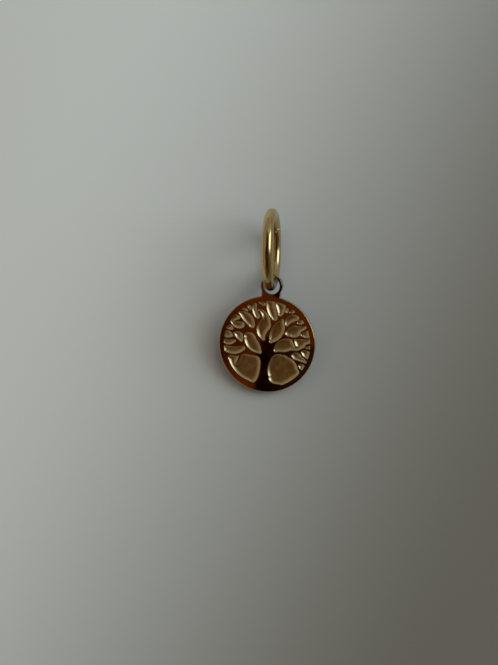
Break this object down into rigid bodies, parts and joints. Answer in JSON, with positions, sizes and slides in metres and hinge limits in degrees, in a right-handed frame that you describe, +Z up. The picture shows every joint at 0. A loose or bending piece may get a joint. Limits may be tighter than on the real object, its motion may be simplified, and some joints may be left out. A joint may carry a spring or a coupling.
{
  "type": "tree charm",
  "caption": "Round gold-tone charm with a raised tree joined to its polished rim, a loop on its top edge and a thick round jump ring through the loop, lying on a flat surface.",
  "frame": {"origin": "on the surface that the charm lies on, under the middle of its box", "axes": "+Z up from the surface, +Y from the disc towards the jump ring, +X to the right of the disc as its front is read with the loop at the top"},
  "size_m": [0.01, 0.0186, 0.0085],
  "materials": {
    "charm_gold": "gold-tone metal, rim and tree mirror polished, the sunk ground between the branches matte",
    "ring_gold": "gold-tone round wire, tumble polished"
  },
  "bodies": {
    "root": {"medallion": "charm_gold", "jump_ring": "ring_gold"}
  },
  "joints": []
}
